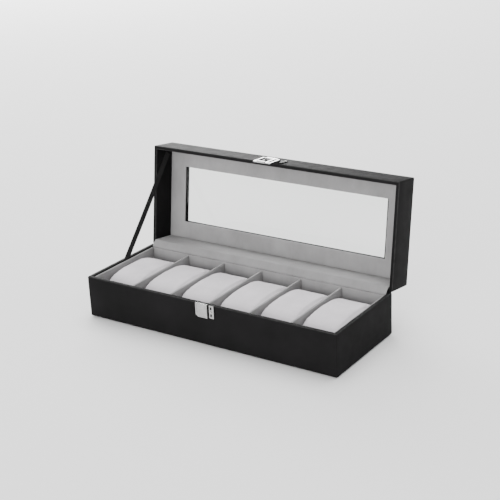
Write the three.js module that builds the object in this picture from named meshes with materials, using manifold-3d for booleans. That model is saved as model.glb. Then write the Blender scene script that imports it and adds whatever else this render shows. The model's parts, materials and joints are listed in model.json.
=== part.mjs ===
// A six-place watch box: a leather-covered base lined with velvet, six removable pillows between
// five dividers, and a lid with a glass window, held open by a ribbon strap. Millimetres, +Z up.
// The origin is the middle of the underside. The front, with the lock, faces -Y.

import * as THREE from 'three';
import { RoundedBoxGeometry } from 'three/addons/geometries/RoundedBoxGeometry.js';
import { mergeVertices } from 'three/addons/utils/BufferGeometryUtils.js';
import Module from 'manifold-3d';

const wasm = await Module();
wasm.setup();

// ---- Driving dimensions ----

const LENGTH = 304; // along X
const DEPTH = 112; // along Y
const BASE_HEIGHT = 46;
const LID_HEIGHT = 33.5;
const LID_OPEN_DEG = 98;
const PLACES = 6;

const LEATHER = 0.7; // outer cover
const SKIN = 0.5; // cover turned to the inside
const BOARD = 2.4; // core of every wall
const GLUE = 0.2; // gap left between glued layers
const WALL = LEATHER + GLUE + BOARD + GLUE + SKIN;
const EDGE_RADIUS = 0.9;
const RIM_GAP = 0.3; // between the closed lid and the base

const SHEET = 0.6; // underside sheet
const SHEET_INSET = 3.5;
const FLAP_WIDTH = 14; // leather turned under the bottom board
const BOTTOM_BOARD = 2.5;
const LINER = 2;
const LINER_DROP = 1.6; // front and side lining tops below the rim
const BACK_LINER_DROP = 2.2;
const SKIN_DEPTH = 8; // how far the base cover is turned down inside the rim

const DIVIDER = 2.4;
const DIVIDER_DROP = 3; // divider tops below the rim
const PILLOW_SIDE_GAP = 0.6;
const PILLOW_DEPTH = 88;
const PILLOW_HEIGHT = 38;
const PILLOW_SHIFT = 1; // towards the back
const PILLOW_EDGE = 5;

const TOP_BOARD = 3.6;
const WINDOW_LENGTH = 251;
const WINDOW_DEPTH = 62;
const GLASS = 1.9;
const GLASS_LAP = 6.5; // glass hidden under the frame on each side
const VELVET = 1;
const LINING_SETBACK_X = 2.2; // of the lining from the window's edges
const LINING_SETBACK_Y = 0.5;

const STRAP_WIDTH = 8;
const STRAP_THICKNESS = 0.6;
const STRAP_BASE_Y = 2.5;
const STRAP_LID_Y = -102; // in the closed lid, measured from the hinge
const STRAP_LID_Z = 20;

const CLASP_X = 2.2; // middle of the lock and the hasp
const LOCK_WIDTH = 22.4;
const LOCK_HEIGHT = 13.8;
const LOCK_SHEET = 0.6;
const SLIDER_WIDTH = 14.2;
const SLIDER_FACE = 0.7;
const SLIDER_LIP = 0.5;
const SLIDER_CUT_X = 3; // cut corner at the slider's lower left
const SLIDER_CUT_Z = 2;
const SLOT_WIDTH = 2.8;
const SLOT_EDGE = 0.3; // metal left on each side of the slot's openings
const FLANGE_RISE = 0.8;
const FLANGE_WINDOW_X = 2.1; // from the flange's left edge
const FLANGE_WINDOW_HALF = 1;
const OPENING_MARGIN = 1.6; // metal left above and below the openings
const BRIDGE_HALF = 2.2; // half the metal left between two openings

const HASP_PLATE_TOP = 17; // above the lid's rim
const HASP_PLATE_BOTTOM = 1;
const HASP_PLATE = 0.8;
const HASP_AXIS_Z = 4.5; // above the lid's rim
const HASP_AXIS_OUT = 2.9; // in front of the lid's face
const HASP_LEAN_DEG = 4.3;
const HASP_WIDTH = 21;
const HASP_REACH = 21.5;
const HASP_SHEET = 1.2;
const HASP_BAR = 1.9;
const KNUCKLE_RADIUS = 1.9;
const KNUCKLE_BORE = 0.9;
const PIN_RADIUS = 0.8;
const OUTER_KNUCKLE = [6.8, 8.6]; // from the middle of the hasp
const INNER_KNUCKLE = 6.6;
const KNUCKLE_WEB = 0.9; // half height of the arm that holds a knuckle
const NECK_DEPTH = 3;
const LOOP_TOP = -2.2; // below the pin
const WINDOW_TOP = -3.4;
const CARRIER_HALF = 1.1; // bar across the loop that holds the staple
const STAPLE_HALF = 0.6;
const STAPLE_RISE = 1.4;
const STAPLE_SPAN = [-15, -9];
const THUMB_LIP_HALF = 4.5;
const THUMB_LIP_DROP = 1.6;
const THUMB_LIP_OUT = 1.2;

const NAIL_HEAD_RADIUS = 1.2;
const NAIL_HEAD_HEIGHT = 0.5;
const FLAT_HEAD_HEIGHT = 0.12;
const NAIL_SHANK_RADIUS = 0.45;
const NAIL_DEPTH = 2.4; // of the shank behind the head
const NAIL_CLEARANCE = 0.05;
const HASP_NAIL_INSET = 1.3;
const HASP_NAIL_Z = [3, 14.5];
const HOLE_REACH = 2; // how far a cutting tool starts outside a face

const HINGE_BASE_LEG = 12; // hinge leather glued to the back of the base
const HINGE_LID_LEG = 10; // and of the lid
const HINGE_LEATHER_INSET = 2;

// ---- Places worked out from them ----

const HALF_LENGTH = LENGTH / 2;
const HALF_DEPTH = DEPTH / 2;
const INNER_X = HALF_LENGTH - WALL; // inner faces of the side walls
const INNER_Y = HALF_DEPTH - WALL;
const BOARD_OUT = LEATHER + GLUE; // from the outside to a board's outer face
const BOARD_IN = BOARD_OUT + BOARD;

const FLAP_BOTTOM = SHEET + GLUE;
const BOTTOM_BOARD_Z = FLAP_BOTTOM + LEATHER + GLUE;
const FLOOR_Z = BOTTOM_BOARD_Z + BOTTOM_BOARD + GLUE;
const LINED_FLOOR_Z = FLOOR_Z + LINER;
const STAND_Z = LINED_FLOOR_Z + GLUE; // where side linings and dividers stand
const LINER_X = INNER_X - GLUE - LINER; // inner faces of the side linings
const LINER_Y = INNER_Y - GLUE - LINER;
const LINER_TOP = BASE_HEIGHT - LINER_DROP;
const PITCH = (2 * LINER_X) / PLACES;
const PILLOW_WIDTH = PITCH - DIVIDER - 2 * PILLOW_SIDE_GAP;

const FACE_Y = -HALF_DEPTH - GLUE; // back of the lock plate
const LOCK_LEFT = CLASP_X - LOCK_WIDTH / 2;
const LOCK_RIGHT = CLASP_X + LOCK_WIDTH / 2;
const SLIDER_RIGHT = LOCK_LEFT + SLIDER_WIDTH;
const FLANGE_LEFT = SLIDER_RIGHT + SLOT_WIDTH;
const LOCK_TOP = BASE_HEIGHT - SLIDER_LIP - GLUE;
const LOCK_BOTTOM = BASE_HEIGHT - LOCK_HEIGHT;
const LOCK_NAIL_Z = (BASE_HEIGHT + LOCK_BOTTOM) / 2;
const LOCK_NAIL_X = FLANGE_LEFT + FLANGE_WINDOW_X;
const HIDDEN_NAIL_X = LOCK_LEFT + SLIDER_WIDTH / 2;
const FLANGE_FACE_Y = FACE_Y - LOCK_SHEET - FLANGE_RISE;

const LID_TOP_BOARD_Z = LID_HEIGHT - LEATHER - GLUE - TOP_BOARD;
const LID_LINING_Z = LID_TOP_BOARD_Z - GLUE - VELVET;
const LID_INNER_FRONT = -DEPTH + WALL; // in the lid's own frame the hinge is at y 0
const LID_INNER_BACK = -WALL;
const WINDOW_Y = -HALF_DEPTH;
const LID_TURN = -THREE.MathUtils.degToRad(LID_OPEN_DEG);

// ---- Materials ----

const finish = (color, roughness, metalness = 0) =>
  new THREE.MeshStandardMaterial({ color, roughness, metalness });

const leather = finish(0x1c1b1c, 0.55);
const velvet = finish(0x8f8d8f, 0.95);
const pillowVelvet = finish(0xb4b0b4, 0.95);
const board = finish(0x8a6f52, 0.85);
const feltSheet = finish(0x202022, 0.95);
const ribbon = finish(0x1a1a1b, 0.7);
const chrome = finish(0xc8c6c8, 0.25, 1);
const glass = new THREE.MeshStandardMaterial({
  color: 0xe8f0ee, roughness: 0.05, transparent: true, opacity: 0.25,
});

// ---- Geometry helpers ----

function boxBetween([x0, x1], [y0, y1], [z0, z1]) {
  const geometry = new THREE.BoxGeometry(x1 - x0, y1 - y0, z1 - z0);
  return geometry.translate((x0 + x1) / 2, (y0 + y1) / 2, (z0 + z1) / 2);
}

function roundedBoxBetween([x0, x1], [y0, y1], [z0, z1], radius) {
  const geometry = new RoundedBoxGeometry(x1 - x0, y1 - y0, z1 - z0, 3, radius);
  return geometry.translate((x0 + x1) / 2, (y0 + y1) / 2, (z0 + z1) / 2);
}

function solid(geometry) {
  const bare = geometry.clone();
  bare.deleteAttribute('normal');
  bare.deleteAttribute('uv');
  const merged = mergeVertices(bare, 1e-5);
  return new wasm.Manifold(new wasm.Mesh({
    numProp: 3,
    vertProperties: new Float32Array(merged.attributes.position.array),
    triVerts: new Uint32Array(merged.index.array),
  }));
}

function geometryOf(manifold) {
  const mesh = manifold.getMesh();
  const geometry = new THREE.BufferGeometry();
  geometry.setAttribute('position', new THREE.BufferAttribute(mesh.vertProperties, 3));
  geometry.setIndex(new THREE.BufferAttribute(mesh.triVerts, 1));
  geometry.computeVertexNormals();
  return geometry;
}

const solidBox = (x, y, z) => solid(boxBetween(x, y, z));
const span = (half, middle = 0) => [middle - half, middle + half];

// A prism along X with its outline given as [y, z] points.
function prismAlongX(outline, [x0, x1]) {
  const shape = new THREE.Shape(outline.map(([y, z]) => new THREE.Vector2(y, z)));
  const geometry = new THREE.ExtrudeGeometry(shape, { depth: x1 - x0, bevelEnabled: false });
  geometry.rotateX(Math.PI / 2);
  geometry.rotateZ(Math.PI / 2);
  return geometry.translate(x0, 0, 0);
}

// The same along Y, with its outline given as [x, z] points.
function prismAlongY(outline, [y0, y1]) {
  const shape = new THREE.Shape(outline.map(([x, z]) => new THREE.Vector2(x, z)));
  const geometry = new THREE.ExtrudeGeometry(shape, { depth: y1 - y0, bevelEnabled: false });
  geometry.rotateX(Math.PI / 2);
  return geometry.translate(0, y1, 0);
}

// A cylinder along the Y axis between y0 and y1.
function cylinderAlongY(x, z, radius, [y0, y1], sides = 16) {
  const geometry = new THREE.CylinderGeometry(radius, radius, y1 - y0, sides);
  return geometry.translate(x, (y0 + y1) / 2, z);
}

// A cylinder along the X axis between x0 and x1.
function cylinderAlongX(y, z, radius, [x0, x1], sides = 24) {
  const geometry = new THREE.CylinderGeometry(radius, radius, x1 - x0, sides);
  geometry.rotateZ(Math.PI / 2);
  return geometry.translate((x0 + x1) / 2, y, z);
}

// ---- Assembly ----

const watchBox = new THREE.Group();
const lid = new THREE.Group();
lid.position.set(0, HALF_DEPTH, BASE_HEIGHT);
lid.rotation.x = LID_TURN;
watchBox.add(lid);

function add(parent, name, material, geometry) {
  const mesh = new THREE.Mesh(geometry, material);
  mesh.name = name;
  parent.add(mesh);
}

// A point of the closed lid, measured from the hinge, as [y, z] of the open box.
function openLidPoint(y, z) {
  const point = new THREE.Vector3(0, y, z).applyAxisAngle(new THREE.Vector3(1, 0, 0), LID_TURN);
  return [point.y + HALF_DEPTH, point.z + BASE_HEIGHT];
}

// ---- Base ----

function addBaseBoards() {
  const x = HALF_LENGTH - BOARD_OUT;
  const y = HALF_DEPTH - BOARD_OUT;
  const top = BASE_HEIGHT - BOARD_OUT;
  const bottom = [BOTTOM_BOARD_Z, BOTTOM_BOARD_Z + BOTTOM_BOARD];
  add(watchBox, 'base_bottom_board', board, boxBetween(span(x), span(y), bottom));
  const wall = [FLOOR_Z, top];
  const front = solidBox(span(x), [-y, -y + BOARD], wall).subtract(lockNailHoles());
  add(watchBox, 'base_front_board', board, geometryOf(front));
  add(watchBox, 'base_back_board', board, boxBetween(span(x), [y - BOARD, y], wall));
  const between = span(y - BOARD - GLUE);
  add(watchBox, 'base_left_board', board, boxBetween([-x, -x + BOARD], between, wall));
  add(watchBox, 'base_right_board', board, boxBetween([x - BOARD, x], between, wall));
}

function addBaseLeather() {
  const roomX = HALF_LENGTH - LEATHER;
  const roomY = HALF_DEPTH - LEATHER;
  const outside = [span(HALF_LENGTH), span(HALF_DEPTH), [FLAP_BOTTOM, BASE_HEIGHT]];
  const room = solidBox(span(roomX), span(roomY), [FLAP_BOTTOM + LEATHER, BASE_HEIGHT - LEATHER]);
  const mouth = solidBox(span(INNER_X), span(INNER_Y), [FLOOR_Z, BASE_HEIGHT + 1]);
  const underneath = solidBox(
    span(HALF_LENGTH - FLAP_WIDTH), span(HALF_DEPTH - FLAP_WIDTH), [0, BOTTOM_BOARD_Z]);
  const skinHeight = [BASE_HEIGHT - SKIN_DEPTH, BASE_HEIGHT - LEATHER / 2];
  const skin = solidBox(span(INNER_X + SKIN), span(INNER_Y + SKIN), skinHeight);
  const cover = solid(roundedBoxBetween(...outside, EDGE_RADIUS))
    .subtract(room).add(skin).subtract(mouth).subtract(underneath).subtract(lockNailHoles());
  add(watchBox, 'base_leather', leather, geometryOf(cover));
}

function addUnderside() {
  const x = span(HALF_LENGTH - SHEET_INSET);
  const y = span(HALF_DEPTH - SHEET_INSET);
  add(watchBox, 'underside_sheet', feltSheet, boxBetween(x, y, [0, SHEET]));
}

function addBaseLinings() {
  const x = INNER_X - GLUE;
  const y = INNER_Y - GLUE;
  const wall = [STAND_Z, LINER_TOP];
  const backWall = [STAND_Z, BASE_HEIGHT - BACK_LINER_DROP];
  const between = span(LINER_Y - GLUE);
  add(watchBox, 'floor_lining', velvet, boxBetween(span(x), span(y), [FLOOR_Z, LINED_FLOOR_Z]));
  add(watchBox, 'front_lining', velvet, boxBetween(span(x), [-y, -LINER_Y], wall));
  add(watchBox, 'back_lining', velvet, boxBetween(span(x), [LINER_Y, y], backWall));
  add(watchBox, 'left_lining', velvet, boxBetween([-x, -LINER_X], between, wall));
  add(watchBox, 'right_lining', velvet, boxBetween([LINER_X, x], between, wall));
}

function addDividers() {
  const y = span(LINER_Y - GLUE);
  const z = [STAND_Z, BASE_HEIGHT - DIVIDER_DROP];
  for (let i = 1; i < PLACES; i += 1) {
    const x = span(DIVIDER / 2, -LINER_X + i * PITCH);
    add(watchBox, `divider_${i}`, velvet, boxBetween(x, y, z));
  }
}

// A cushion: an oval section along X with softened ends.
function pillowGeometry() {
  const section = new THREE.Shape();
  const halfDepth = PILLOW_DEPTH / 2 - PILLOW_EDGE;
  const halfHeight = PILLOW_HEIGHT / 2 - PILLOW_EDGE;
  const points = 28;
  const fullness = 0.8; // 1 is an ellipse, less is squarer
  for (let i = 0; i < points; i += 1) {
    const angle = (2 * Math.PI * i) / points;
    const [c, s] = [Math.cos(angle), Math.sin(angle)];
    const y = halfDepth * Math.sign(c) * Math.abs(c) ** fullness;
    const z = halfHeight * Math.sign(s) * Math.abs(s) ** fullness;
    if (i === 0) section.moveTo(y, z);
    else section.lineTo(y, z);
  }
  const geometry = new THREE.ExtrudeGeometry(section, {
    depth: PILLOW_WIDTH - 2 * PILLOW_EDGE,
    bevelSize: PILLOW_EDGE,
    bevelThickness: PILLOW_EDGE,
    bevelSegments: 3,
  });
  geometry.translate(0, 0, PILLOW_EDGE - PILLOW_WIDTH / 2);
  geometry.rotateX(Math.PI / 2);
  return geometry.rotateZ(Math.PI / 2);
}

function addPillows() {
  const z = LINED_FLOOR_Z + GLUE + PILLOW_HEIGHT / 2;
  for (let i = 0; i < PLACES; i += 1) {
    const x = -LINER_X + (i + 0.5) * PITCH;
    const geometry = pillowGeometry().translate(x, PILLOW_SHIFT, z);
    add(watchBox, `watch_pillow_${i + 1}`, pillowVelvet, geometry);
  }
}

// ---- Lock on the front of the base ----

function lockNailHoles() {
  const length = [-HALF_DEPTH - HOLE_REACH, -HALF_DEPTH + BOARD_IN];
  const radius = NAIL_SHANK_RADIUS + GLUE;
  const right = solid(cylinderAlongY(LOCK_NAIL_X, LOCK_NAIL_Z, radius, length));
  const left = solid(cylinderAlongY(HIDDEN_NAIL_X, LOCK_NAIL_Z, radius, length));
  return right.add(left);
}

// A nail driven along +Y, its head's back resting at y.
function nailGeometry(x, y, z, headHeight) {
  const head = cylinderAlongY(x, z, NAIL_HEAD_RADIUS, [y - headHeight, y]);
  const shank = cylinderAlongY(x, z, NAIL_SHANK_RADIUS, [y - headHeight / 2, y + NAIL_DEPTH]);
  return geometryOf(solid(head).add(solid(shank)));
}

// Two openings through the lock plate, one above the other.
function lockOpenings(x) {
  const y = [FLANGE_FACE_Y - 1, FACE_Y + 1];
  const upper = solidBox(x, y, [LOCK_NAIL_Z + BRIDGE_HALF, BASE_HEIGHT - OPENING_MARGIN]);
  const lower = solidBox(x, y, [LOCK_BOTTOM + OPENING_MARGIN, LOCK_NAIL_Z - BRIDGE_HALF]);
  return upper.add(lower);
}

function addLock() {
  const plateZ = [LOCK_BOTTOM, LOCK_TOP];
  const back = solidBox([LOCK_LEFT, LOCK_RIGHT], [FACE_Y - LOCK_SHEET, FACE_Y], plateZ);
  const flange = solidBox(
    [FLANGE_LEFT, LOCK_RIGHT], [FLANGE_FACE_Y, FACE_Y], [LOCK_BOTTOM, BASE_HEIGHT]);
  const plate = back.add(flange)
    .subtract(lockOpenings(span(FLANGE_WINDOW_HALF, LOCK_NAIL_X)))
    .subtract(lockOpenings([SLIDER_RIGHT + SLOT_EDGE, FLANGE_LEFT - SLOT_EDGE]))
    .subtract(lockNailHoles());
  add(watchBox, 'lock_plate', chrome, geometryOf(plate));

  const rightNail = nailGeometry(
    LOCK_NAIL_X, FLANGE_FACE_Y - NAIL_CLEARANCE, LOCK_NAIL_Z, NAIL_HEAD_HEIGHT);
  add(watchBox, 'lock_nail_right', chrome, rightNail);
  const leftNail = nailGeometry(
    HIDDEN_NAIL_X, FACE_Y - LOCK_SHEET - NAIL_CLEARANCE / 2, LOCK_NAIL_Z, FLAT_HEAD_HEIGHT);
  add(watchBox, 'lock_nail_left', chrome, leftNail);
}

// A cover that slides sideways on the lock plate, its two lips bent over the plate's edges.
function addLockSlider() {
  const faceBack = FACE_Y - LOCK_SHEET - GLUE;
  const faceFront = faceBack - SLIDER_FACE;
  const x = [LOCK_LEFT, SLIDER_RIGHT];
  const bottomLip = [LOCK_BOTTOM - GLUE - SLIDER_LIP * 2, LOCK_BOTTOM - GLUE];
  const topLip = [LOCK_TOP + GLUE, BASE_HEIGHT];
  const slider = solidBox(x, [faceFront, faceBack], [bottomLip[0], topLip[1]])
    .add(solidBox(x, [faceFront, FACE_Y], bottomLip))
    .add(solidBox(x, [faceFront, FACE_Y], topLip));
  const corner = prismAlongY([
    [LOCK_LEFT - 1, bottomLip[0] - 1],
    [LOCK_LEFT + SLIDER_CUT_X, bottomLip[0] - 1],
    [LOCK_LEFT + SLIDER_CUT_X, bottomLip[0]],
    [LOCK_LEFT, bottomLip[0] + SLIDER_CUT_Z],
    [LOCK_LEFT - 1, bottomLip[0] + SLIDER_CUT_Z],
  ], [faceFront - 1, FACE_Y + 1]);
  add(watchBox, 'lock_slider', chrome, geometryOf(slider.subtract(solid(corner))));
}

// ---- Lid, in its closed place measured from the hinge ----

function addLidBoards() {
  const x = HALF_LENGTH - BOARD_OUT;
  const back = -BOARD_OUT;
  const front = -DEPTH + BOARD_OUT;
  const wall = [RIM_GAP + BOARD_OUT, LID_TOP_BOARD_Z - GLUE];
  const frontBoard = solidBox(span(x), [front, front + BOARD], wall).subtract(haspNailHoles());
  add(lid, 'lid_front_board', board, geometryOf(frontBoard));
  add(lid, 'lid_back_board', board, boxBetween(span(x), [back - BOARD, back], wall));
  const between = [front + BOARD + GLUE, back - BOARD - GLUE];
  add(lid, 'lid_left_board', board, boxBetween([-x, -x + BOARD], between, wall));
  add(lid, 'lid_right_board', board, boxBetween([x - BOARD, x], between, wall));
  addLidTopBoard(x, [front, back]);
}

function addLidTopBoard(x, y) {
  const top = [LID_TOP_BOARD_Z, LID_TOP_BOARD_Z + TOP_BOARD];
  const cutX = WINDOW_LENGTH / 2 + BOARD_OUT;
  const cutY = WINDOW_DEPTH / 2 + BOARD_OUT;
  const window = solidBox(span(cutX), span(cutY, WINDOW_Y), [0, LID_HEIGHT]);
  const rebate = solidBox(
    span(WINDOW_LENGTH / 2 + GLASS_LAP + GLUE),
    span(WINDOW_DEPTH / 2 + GLASS_LAP + GLUE, WINDOW_Y),
    [0, LID_TOP_BOARD_Z + GLASS + 2 * GLUE]);
  const topBoard = solidBox(span(x), y, top).subtract(window).subtract(rebate);
  add(lid, 'lid_top_board', board, geometryOf(topBoard));
}

function addLidLeather() {
  const outside = [span(HALF_LENGTH), [-DEPTH, 0], [RIM_GAP, LID_HEIGHT]];
  const room = solidBox(
    span(HALF_LENGTH - LEATHER), [LEATHER - DEPTH, -LEATHER],
    [RIM_GAP + LEATHER, LID_HEIGHT - LEATHER]);
  const skinTop = LID_TOP_BOARD_Z - GLUE;
  const skin = solidBox(
    span(INNER_X + SKIN), [LID_INNER_FRONT - SKIN, LID_INNER_BACK + SKIN],
    [RIM_GAP + LEATHER / 2, skinTop]);
  const mouth = solidBox(span(INNER_X), [LID_INNER_FRONT, LID_INNER_BACK], [-1, skinTop + 1]);
  const revealX = WINDOW_LENGTH / 2 + LEATHER;
  const revealY = WINDOW_DEPTH / 2 + LEATHER;
  const revealZ = [LID_TOP_BOARD_Z + GLASS + 2 * GLUE, LID_HEIGHT - LEATHER / 2];
  const reveal = solidBox(span(revealX), span(revealY, WINDOW_Y), revealZ);
  const window = solidBox(
    span(WINDOW_LENGTH / 2), span(WINDOW_DEPTH / 2, WINDOW_Y), [LID_TOP_BOARD_Z, LID_HEIGHT + 1]);
  const cover = solid(roundedBoxBetween(...outside, EDGE_RADIUS))
    .subtract(room).add(skin).subtract(mouth).add(reveal).subtract(window)
    .subtract(haspNailHoles());
  add(lid, 'lid_leather', leather, geometryOf(cover));
}

function addWindow() {
  const glassZ = [LID_TOP_BOARD_Z + GLUE / 2, LID_TOP_BOARD_Z + GLUE / 2 + GLASS];
  const pane = boxBetween(
    span(WINDOW_LENGTH / 2 + GLASS_LAP), span(WINDOW_DEPTH / 2 + GLASS_LAP, WINDOW_Y), glassZ);
  add(lid, 'window_glass', glass, pane);

  const backLiningFace = LID_INNER_BACK - GLUE - VELVET;
  const sheet = solidBox(
    span(INNER_X - GLUE), [LID_INNER_FRONT + GLUE, backLiningFace - GLUE],
    [LID_LINING_Z, LID_LINING_Z + VELVET]);
  const window = solidBox(
    span(WINDOW_LENGTH / 2 + LINING_SETBACK_X),
    span(WINDOW_DEPTH / 2 + LINING_SETBACK_Y, WINDOW_Y),
    [0, LID_HEIGHT]);
  add(lid, 'window_lining', velvet, geometryOf(sheet.subtract(window)));

  const backLining = boxBetween(
    span(INNER_X - GLUE), [backLiningFace, LID_INNER_BACK - GLUE],
    [RIM_GAP + LEATHER, LID_LINING_Z + VELVET]);
  add(lid, 'lid_back_lining', velvet, backLining);
}

// ---- Hasp on the front of the lid, whose face is at y -DEPTH ----

const HASP_FACE_Y = -DEPTH - GLUE;
const HASP_AXIS_Y = -DEPTH - HASP_AXIS_OUT;
const HASP_NAILS = HASP_NAIL_Z.flatMap((z) => [-1, 1].map((side) => (
  { x: CLASP_X + side * (LOCK_WIDTH / 2 - HASP_NAIL_INSET), z })));

function haspNailHoles() {
  const length = [-DEPTH - HOLE_REACH, -DEPTH + BOARD_IN];
  return HASP_NAILS
    .map(({ x, z }) => solid(cylinderAlongY(x, z, NAIL_SHANK_RADIUS + GLUE, length)))
    .reduce((all, hole) => all.add(hole));
}

function addHaspPlate() {
  const x = span(LOCK_WIDTH / 2, CLASP_X);
  const y = [HASP_FACE_Y - HASP_PLATE, HASP_FACE_Y];
  const bore = solid(cylinderAlongX(
    HASP_AXIS_Y, HASP_AXIS_Z, KNUCKLE_BORE, span(LOCK_WIDTH, CLASP_X)));
  const webZ = span(KNUCKLE_WEB, HASP_AXIS_Z + 1);
  let plate = solidBox(x, y, [HASP_PLATE_BOTTOM, HASP_PLATE_TOP]);
  for (const side of [-1, 1]) {
    const knuckleX = OUTER_KNUCKLE.map((v) => CLASP_X + side * v).sort((a, b) => a - b);
    const knuckle = solid(cylinderAlongX(HASP_AXIS_Y, HASP_AXIS_Z, KNUCKLE_RADIUS, knuckleX));
    plate = plate.add(knuckle).add(solidBox(knuckleX, [HASP_AXIS_Y, HASP_FACE_Y], webZ));
  }
  add(lid, 'hasp_plate', chrome, geometryOf(plate.subtract(bore).subtract(haspNailHoles())));

  const pin = cylinderAlongX(HASP_AXIS_Y, HASP_AXIS_Z, PIN_RADIUS, span(OUTER_KNUCKLE[1], CLASP_X));
  add(lid, 'hasp_pin', chrome, pin);
  const nailY = HASP_FACE_Y - HASP_PLATE - NAIL_CLEARANCE;
  HASP_NAILS.forEach((nail, i) => {
    add(lid, `hasp_nail_${i + 1}`, chrome, nailGeometry(nail.x, nailY, nail.z, NAIL_HEAD_HEIGHT));
  });
}

// The loop's own frame has the pin at its origin, -Z towards the tip and -Y outwards.
function haspLoopGeometry() {
  const sheetY = [-KNUCKLE_RADIUS, -KNUCKLE_RADIUS + HASP_SHEET];
  const halfWidth = HASP_WIDTH / 2;
  const windowBottom = -HASP_REACH + HASP_BAR;
  const stapleX = (SLIDER_RIGHT + FLANGE_LEFT) / 2 - CLASP_X;
  const frame = solidBox(span(halfWidth), sheetY, [-HASP_REACH, LOOP_TOP]);
  const neck = solidBox(span(INNER_KNUCKLE), sheetY, [-NECK_DEPTH, 0]);
  const knuckle = solid(cylinderAlongX(0, 0, KNUCKLE_RADIUS, span(INNER_KNUCKLE)));
  const bore = solid(cylinderAlongX(0, 0, KNUCKLE_BORE, span(halfWidth)));
  const windowX = span(halfWidth - HASP_BAR);
  const window = solidBox(windowX, span(HASP_REACH), [windowBottom, WINDOW_TOP]);
  const carrier = solidBox(
    span(CARRIER_HALF, stapleX), sheetY, [windowBottom - 1, WINDOW_TOP + 1]);
  const stapleY = [sheetY[0] + HASP_SHEET / 4, sheetY[1] + STAPLE_RISE];
  const staple = solidBox(span(STAPLE_HALF, stapleX), stapleY, STAPLE_SPAN);
  const lipY = [sheetY[0] - THUMB_LIP_OUT, sheetY[1] - HASP_SHEET / 3];
  const lipZ = [-HASP_REACH - THUMB_LIP_DROP, -HASP_REACH + HASP_SHEET / 3];
  const lip = solidBox(span(THUMB_LIP_HALF), lipY, lipZ);
  const loop = frame.subtract(window).add(neck).add(knuckle).add(carrier).add(staple).add(lip);
  return geometryOf(loop.subtract(bore));
}

function addHaspLoop() {
  const hasp = new THREE.Group();
  hasp.position.set(CLASP_X, HASP_AXIS_Y, HASP_AXIS_Z);
  hasp.rotation.x = THREE.MathUtils.degToRad(HASP_LEAN_DEG);
  lid.add(hasp);
  add(hasp, 'hasp_loop', chrome, haspLoopGeometry());
}

// ---- Cloth between base and lid ----

function addHingeStrips() {
  const rimInner = INNER_Y - GLUE;
  const [lidLowY, lidLowZ] = openLidPoint(LID_INNER_BACK - GLUE, RIM_GAP + 0.2);
  const [lidHighY, lidHighZ] = openLidPoint(LID_INNER_BACK - GLUE - VELVET, RIM_GAP + 0.2);
  const linerTop = BASE_HEIGHT - BACK_LINER_DROP + GLUE;
  const velvetOutline = [
    [rimInner, linerTop],
    [rimInner, BASE_HEIGHT + GLUE],
    [lidLowY, lidLowZ + GLUE],
    [lidHighY, lidHighZ + GLUE],
    [rimInner - VELVET, BASE_HEIGHT + GLUE + VELVET / 2],
    [rimInner - VELVET, linerTop],
  ];
  const x = span(INNER_X - 2 * GLUE);
  add(watchBox, 'hinge_velvet', velvet, prismAlongX(velvetOutline, x));

  const outer = GLUE + LEATHER;
  const leatherOutline = [
    [HALF_DEPTH + GLUE, BASE_HEIGHT - HINGE_BASE_LEG],
    [HALF_DEPTH + outer, BASE_HEIGHT - HINGE_BASE_LEG],
    openLidPoint(outer, outer),
    openLidPoint(outer, HINGE_LID_LEG),
    openLidPoint(GLUE, HINGE_LID_LEG),
    openLidPoint(GLUE, GLUE),
  ];
  const backX = span(HALF_LENGTH - HINGE_LEATHER_INSET);
  add(watchBox, 'hinge_leather', leather, prismAlongX(leatherOutline, backX));
}

function addStrap() {
  const start = new THREE.Vector2(STRAP_BASE_Y, LINER_TOP + GLUE);
  const end = new THREE.Vector2(...openLidPoint(STRAP_LID_Y, STRAP_LID_Z));
  const along = end.clone().sub(start).normalize();
  const half = STRAP_WIDTH / 2;
  const slant = half / along.y; // half width measured level
  const across = new THREE.Vector2(along.y, -along.x).multiplyScalar(half);
  const outline = [
    [start.x - slant, start.y],
    [start.x + slant, start.y],
    [end.x + across.x, end.y + across.y],
    [end.x - across.x, end.y - across.y],
  ];
  const outerX = -INNER_X + GLUE;
  add(watchBox, 'lid_strap', ribbon, prismAlongX(outline, [outerX, outerX + STRAP_THICKNESS]));
}

addBaseBoards();
addBaseLeather();
addUnderside();
addBaseLinings();
addDividers();
addPillows();
addLock();
addLockSlider();
addLidBoards();
addLidLeather();
addWindow();
addHaspPlate();
addHaspLoop();
addHingeStrips();
addStrap();

export default watchBox;
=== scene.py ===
import json
import math

import bmesh
import bpy
from mathutils import Matrix, Vector, noise


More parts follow.
